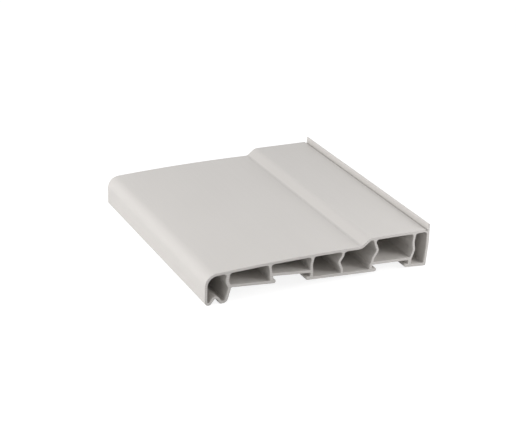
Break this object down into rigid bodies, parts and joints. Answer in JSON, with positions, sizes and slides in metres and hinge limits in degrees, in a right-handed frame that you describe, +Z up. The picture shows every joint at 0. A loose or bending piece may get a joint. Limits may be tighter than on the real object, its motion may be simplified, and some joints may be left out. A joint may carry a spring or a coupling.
{
  "type": "pvc window sill",
  "caption": "Hollow plastic window sill profile, cut to a sample length, with a drip nose, a sloped top, a raised frame platform, a back upstand and clip slots underneath.",
  "frame": {"origin": "centre of the sill's footprint, on the floor it lies on", "axes": "+X from the nose to the back, +Y along the extrusion, +Z up; the sill lies on its nose lobes and its heel"},
  "size_m": [0.1506, 0.172, 0.0277],
  "materials": {
    "white_upvc": "satin"
  },
  "bodies": {
    "root": {"sill_profile": "white_upvc"}
  },
  "joints": []
}
